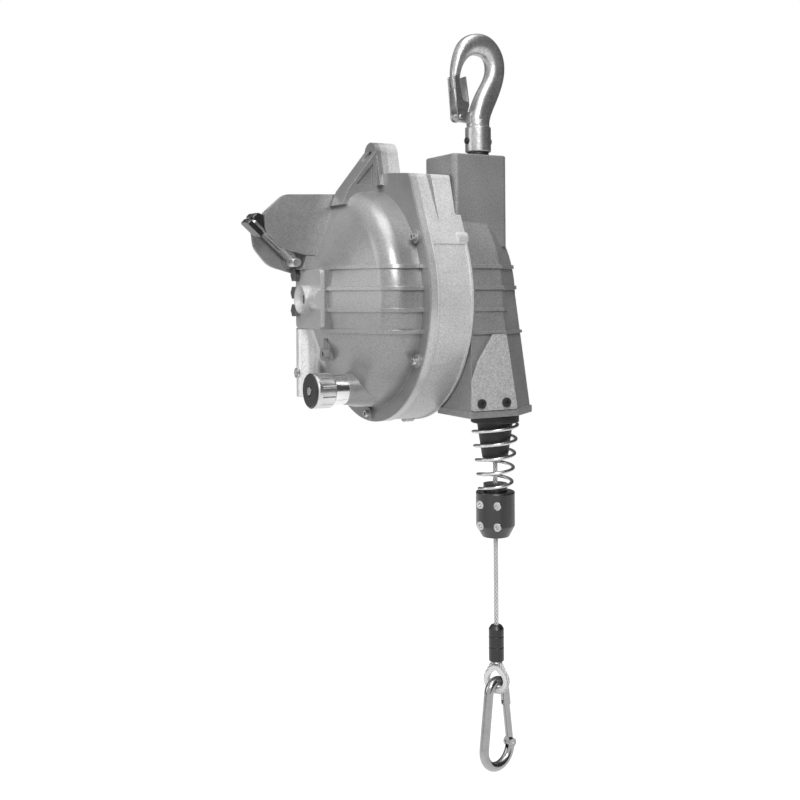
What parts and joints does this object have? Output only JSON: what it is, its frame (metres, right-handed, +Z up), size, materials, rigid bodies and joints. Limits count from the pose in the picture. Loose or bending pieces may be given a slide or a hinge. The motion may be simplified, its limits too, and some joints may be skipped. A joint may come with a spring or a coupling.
{
  "type": "spring tool balancer",
  "caption": "Heavy spring balancer in a cast housing: swivel safety hook, sprung rope drum with worm adjustment, rope with buffer stop and carabiner.",
  "frame": {"origin": "where the load hook bears on its beam, at the top of the inside of the hook bowl, on the hook's swivel axis", "axes": "+Z up along the hook's swivel axis, +X along the drum axis from the dome to the rope drum, -Y towards the front where the rope leaves"},
  "size_m": [0.2796, 0.2694, 0.7832],
  "materials": {
    "painted_casting": "silver hammer-grain paint on cast aluminium",
    "galvanised": "forged and galvanised",
    "zinc": "zinc plated",
    "black_steel": "blackened",
    "black_plastic": "moulded, slight sheen",
    "guide_plate": "light sandy paint",
    "bronze": "machined bronze",
    "bare_aluminium": "machined",
    "spring_steel": "bright spring steel",
    "rope": "galvanised wire rope",
    "thimble": "pale and smooth"
  },
  "bodies": {
    "hanger": {"load_hook": "galvanised", "hook_stem": "galvanised", "hook_cross_pin": "black_steel", "hook_nut": "zinc", "thrust_bearing": "zinc", "stem_washer": "black_steel"},
    "latch": {"hook_latch": "zinc", "latch_pin": "zinc", "latch_spring": "zinc"},
    "housing": {"cover": "painted_casting", "housing_ring": "painted_casting", "drum_housing": "painted_casting", "worm_cover": "painted_casting", "worm_cover_bolts": "zinc", "cover_screws": "zinc", "column_plug": "zinc", "guide_plate": "guide_plate", "guide_plate_screws": "black_steel", "drum_axle": "zinc", "worm_bush": "bronze", "nozzle_collar": "black_plastic", "rope_nozzle": "black_plastic", "lock_sleeve": "zinc", "lever_pin": "zinc"},
    "drum": {"rope_drum": "bare_aluminium", "rope_winding": "rope", "drum_screws": "zinc", "drum_bearing_left": "zinc", "drum_bearing_right": "zinc", "spring_case": "bare_aluminium"},
    "arbor": {"spring_arbor": "zinc", "worm_wheel": "bronze", "power_spring_left": "spring_steel", "power_spring_right": "spring_steel"},
    "worm": {"worm_shaft": "zinc"},
    "load": {"rope": "rope", "rope_eye": "rope", "ferrule": "black_plastic", "thimble": "thimble", "stopper_front": "black_plastic", "stopper_rear": "black_plastic", "stopper_screws": "zinc", "stopper_bush": "black_plastic", "buffer_spring": "spring_steel"},
    "snap": {"carabiner": "zinc"},
    "gate": {"carabiner_gate": "zinc", "gate_pin": "zinc"},
    "lock": {"lock_knob": "zinc", "knob_cap": "black_plastic", "lock_pin": "zinc"},
    "lever": {"release_lever": "zinc", "lever_grip_upper": "black_plastic", "lever_grip_lower": "black_plastic"}
  },
  "joints": [
    {"name": "hook_swivel", "type": "hinge", "parent": "hanger", "child": "housing", "pos_m": [0, 0, -0.11], "axis": [0, 0, 1], "continuous": true},
    {"name": "latch_hinge", "type": "hinge", "parent": "hanger", "child": "latch", "pos_m": [-0.025, 0, -0.068], "axis": [0, 1, 0], "range_deg": [0, 22], "stiffness_Nm_per_rad": 0.02, "springref_deg": -34.38},
    {"name": "drum_turn", "type": "hinge", "parent": "housing", "child": "drum", "pos_m": [-0.084, 0.077, -0.26], "axis": [1, 0, 0], "range_deg": [0, 1080], "stiffness_Nm_per_rad": 0.5, "springref_deg": -229.18},
    {"name": "load_travel", "type": "slide", "parent": "housing", "child": "load", "axis": [0, 0, -1], "range_m": [0, 1.9405], "deforming": ["rope"]},
    {"name": "carabiner_swing", "type": "hinge", "parent": "load", "child": "snap", "pos_m": [0.004, -0.023, -0.66475], "axis": [0.829, 0.5592, 0], "range_deg": [-25, 25]},
    {"name": "gate_hinge", "type": "hinge", "parent": "snap", "child": "gate", "pos_m": [0.02297, -0.01862, -0.73375], "axis": [0.225, -0.9744, 0], "range_deg": [0, 20], "stiffness_Nm_per_rad": 0.05, "springref_deg": -22.92},
    {"name": "worm_turn", "type": "hinge", "parent": "housing", "child": "worm", "pos_m": [-0.1525, 0.1051, -0.26], "axis": [0, 0, 1], "continuous": true},
    {"name": "arbor_turn", "type": "hinge", "parent": "housing", "child": "arbor", "pos_m": [-0.084, 0.077, -0.26], "axis": [1, 0, 0], "continuous": true},
    {"name": "lock_slide", "type": "slide", "parent": "housing", "child": "lock", "axis": [1, 0, 0], "range_m": [0, 0.007]},
    {"name": "lever_hinge", "type": "hinge", "parent": "housing", "child": "lever", "pos_m": [-0.1745, 0.097, -0.2205], "axis": [0, 1, 0], "range_deg": [0, 40]}
  ],
  "couplings": [
    {"joint": "load_travel", "follows": "drum_turn", "m_per_rad": 0.10292},
    {"joint": "worm_turn", "follows": "arbor_turn", "ratio": -30}
  ]
}
